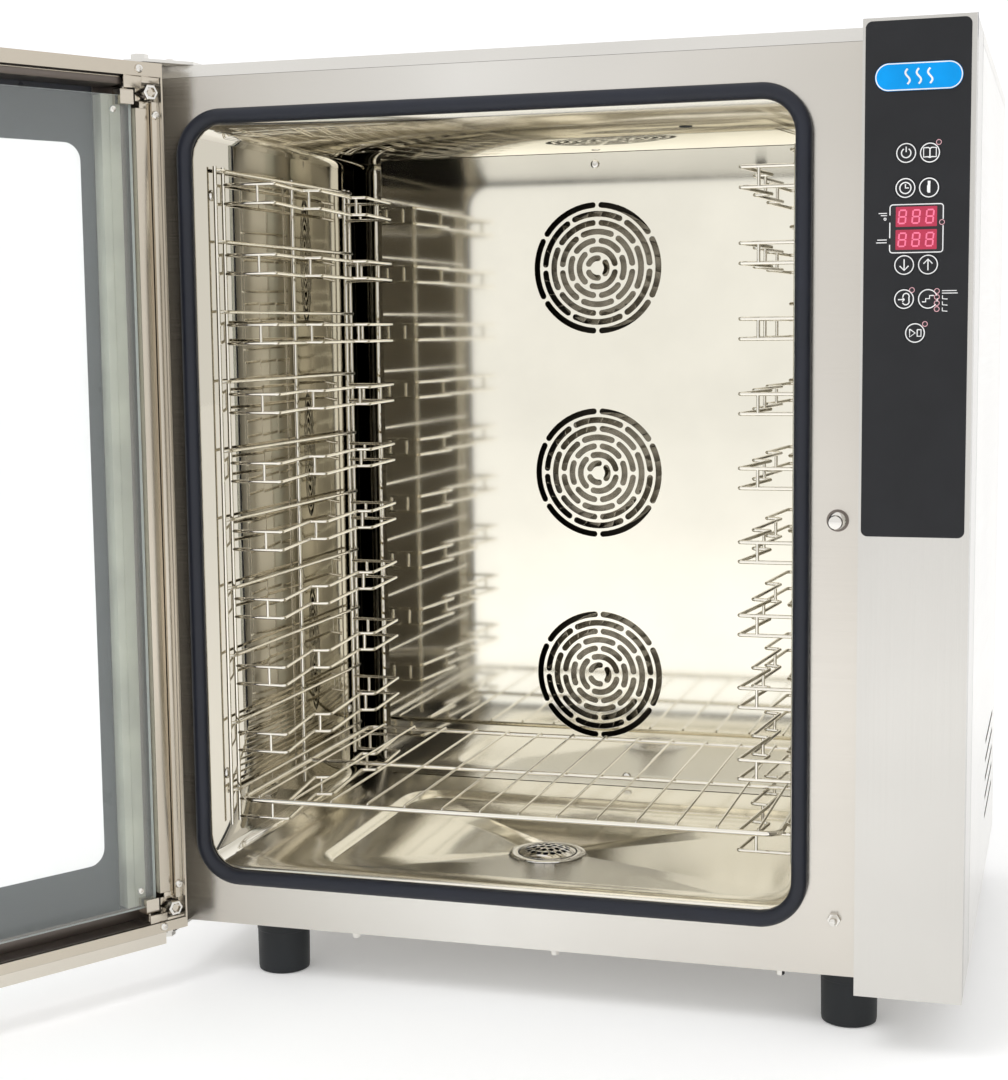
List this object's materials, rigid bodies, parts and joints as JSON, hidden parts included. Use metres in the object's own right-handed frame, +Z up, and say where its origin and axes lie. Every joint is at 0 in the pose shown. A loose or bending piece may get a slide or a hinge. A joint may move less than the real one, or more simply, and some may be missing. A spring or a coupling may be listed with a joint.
{
  "type": "combi steamer oven",
  "caption": "Free-standing combi steamer oven: steel cabinet on four feet with an open side-hung glass door, wire tray racks, rear fans and a keypad column.",
  "frame": {"origin": "centre of the front left foot's underside, on the floor", "axes": "+X to the right as one faces the oven, +Y into the cavity, towards the back, +Z up"},
  "size_m": [1.2632, 1.3457, 0.992],
  "materials": {
    "brushed_steel": "fine brushed stainless steel",
    "mirror_steel": "polished stainless steel",
    "chromed_wire": "bright plated wire",
    "heater_sheath": "oxidised heater tube",
    "motor_paint": "grey paint",
    "black_plastic": "matt moulded plastic",
    "overlay_charcoal": "satin printed membrane",
    "black_rubber": "matt silicone",
    "display_red": "tinted display window",
    "circuit_board": "lacquered board",
    "badge_blue": "gloss lacquer",
    "mineral_wool": "fibrous blanket",
    "valve_brass": "turned brass",
    "door_glass": "clear toughened glass"
  },
  "bodies": {
    "cabinet": {"base_tray": "brushed_steel", "cavity_liner": "mirror_steel", "front_frame": "brushed_steel", "door_gasket": "black_rubber", "top_cover": "brushed_steel", "left_side_panel": "brushed_steel", "right_side_panel": "brushed_steel", "back_panel": "brushed_steel", "insulation_blanket": "mineral_wool", "fan_baffle": "mirror_steel", "fan_motor_1": "motor_paint", "fan_motor_2": "motor_paint", "fan_motor_3": "motor_paint", "heater_ring_1": "heater_sheath", "heater_ring_2": "heater_sheath", "heater_ring_3": "heater_sheath", "water_manifold": "mirror_steel", "control_column": "brushed_steel", "control_overlay": "overlay_charcoal", "display_window": "display_red", "control_board": "circuit_board", "badge_plate": "badge_blue", "door_striker": "chromed_wire", "door_stop_bolt": "chromed_wire", "drain_strainer": "mirror_steel", "drain_pipe": "black_plastic", "steam_vent": "brushed_steel", "water_inlet_valve": "valve_brass", "cable_gland": "black_plastic", "foot_front_left": "black_plastic", "foot_front_right": "black_plastic", "foot_back_left": "black_plastic", "foot_back_right": "black_plastic", "hinge_bracket_top": "brushed_steel", "hinge_bracket_bottom": "brushed_steel", "rack_left": "chromed_wire", "rack_right": "chromed_wire"},
    "fan_1": {"fan_wheel_1": "brushed_steel"},
    "fan_2": {"fan_wheel_2": "brushed_steel"},
    "fan_3": {"fan_wheel_3": "brushed_steel"},
    "shelf": {"wire_shelf": "chromed_wire"},
    "key_power": {"key_power": "overlay_charcoal"},
    "key_recipe": {"key_recipe": "overlay_charcoal"},
    "key_clock": {"key_clock": "overlay_charcoal"},
    "key_probe": {"key_probe": "overlay_charcoal"},
    "key_down": {"key_down": "overlay_charcoal"},
    "key_up": {"key_up": "overlay_charcoal"},
    "key_steam": {"key_steam": "overlay_charcoal"},
    "key_phase": {"key_phase": "overlay_charcoal"},
    "key_start": {"key_start": "overlay_charcoal"},
    "door": {"door_frame": "brushed_steel", "outer_glass": "door_glass", "drip_gutter": "brushed_steel", "glass_bracket_top": "brushed_steel", "glass_bracket_bottom": "brushed_steel"},
    "inner_pane": {"inner_glass": "door_glass", "glass_clamp_top": "brushed_steel", "glass_clamp_bottom": "brushed_steel"},
    "handle": {"door_handle": "brushed_steel"},
    "latch": {"latch_bar": "brushed_steel"}
  },
  "joints": [
    {"name": "door_hinge", "type": "hinge", "parent": "cabinet", "child": "door", "pos_m": [-0.1045, -0.075, 0.519], "axis": [0, 0, 1], "range_deg": [-60, 120]},
    {"name": "inner_glass_hinge", "type": "hinge", "parent": "door", "child": "inner_pane", "pos_m": [-0.10909, -0.10295, 0.516], "axis": [0, 0, -1], "range_deg": [-90, 0]},
    {"name": "handle_turn", "type": "hinge", "parent": "door", "child": "handle", "pos_m": [-0.4823, -0.68537, 0.563], "axis": [0.866, -0.5, 0], "range_deg": [0, 45]},
    {"name": "latch_slide", "type": "slide", "parent": "door", "child": "latch", "axis": [0, 0, 1], "range_m": [0, 0.012]},
    {"name": "shelf_slide", "type": "slide", "parent": "cabinet", "child": "shelf", "axis": [0, 1, 0], "range_m": [-0.35, 0]},
    {"name": "fan_1_spin", "type": "hinge", "parent": "cabinet", "child": "fan_1", "pos_m": [0.257, 0.454, 0.774], "axis": [0, 1, 0], "continuous": true},
    {"name": "fan_2_spin", "type": "hinge", "parent": "cabinet", "child": "fan_2", "pos_m": [0.257, 0.454, 0.52], "axis": [0, 1, 0], "continuous": true},
    {"name": "fan_3_spin", "type": "hinge", "parent": "cabinet", "child": "fan_3", "pos_m": [0.257, 0.454, 0.264], "axis": [0, 1, 0], "continuous": true},
    {"name": "key_power_press", "type": "slide", "parent": "cabinet", "child": "key_power", "axis": [0, 1, 0], "range_m": [0, 0.0005], "stiffness_N_per_m": 600},
    {"name": "key_recipe_press", "type": "slide", "parent": "cabinet", "child": "key_recipe", "axis": [0, 1, 0], "range_m": [0, 0.0005], "stiffness_N_per_m": 600},
    {"name": "key_clock_press", "type": "slide", "parent": "cabinet", "child": "key_clock", "axis": [0, 1, 0], "range_m": [0, 0.0005], "stiffness_N_per_m": 600},
    {"name": "key_probe_press", "type": "slide", "parent": "cabinet", "child": "key_probe", "axis": [0, 1, 0], "range_m": [0, 0.0005], "stiffness_N_per_m": 600},
    {"name": "key_down_press", "type": "slide", "parent": "cabinet", "child": "key_down", "axis": [0, 1, 0], "range_m": [0, 0.0005], "stiffness_N_per_m": 600},
    {"name": "key_up_press", "type": "slide", "parent": "cabinet", "child": "key_up", "axis": [0, 1, 0], "range_m": [0, 0.0005], "stiffness_N_per_m": 600},
    {"name": "key_steam_press", "type": "slide", "parent": "cabinet", "child": "key_steam", "axis": [0, 1, 0], "range_m": [0, 0.0005], "stiffness_N_per_m": 600},
    {"name": "key_phase_press", "type": "slide", "parent": "cabinet", "child": "key_phase", "axis": [0, 1, 0], "range_m": [0, 0.0005], "stiffness_N_per_m": 600},
    {"name": "key_start_press", "type": "slide", "parent": "cabinet", "child": "key_start", "axis": [0, 1, 0], "range_m": [0, 0.0005], "stiffness_N_per_m": 600}
  ],
  "couplings": [
    {"joint": "latch_slide", "follows": "handle_turn", "m_per_rad": 0.015279}
  ]
}
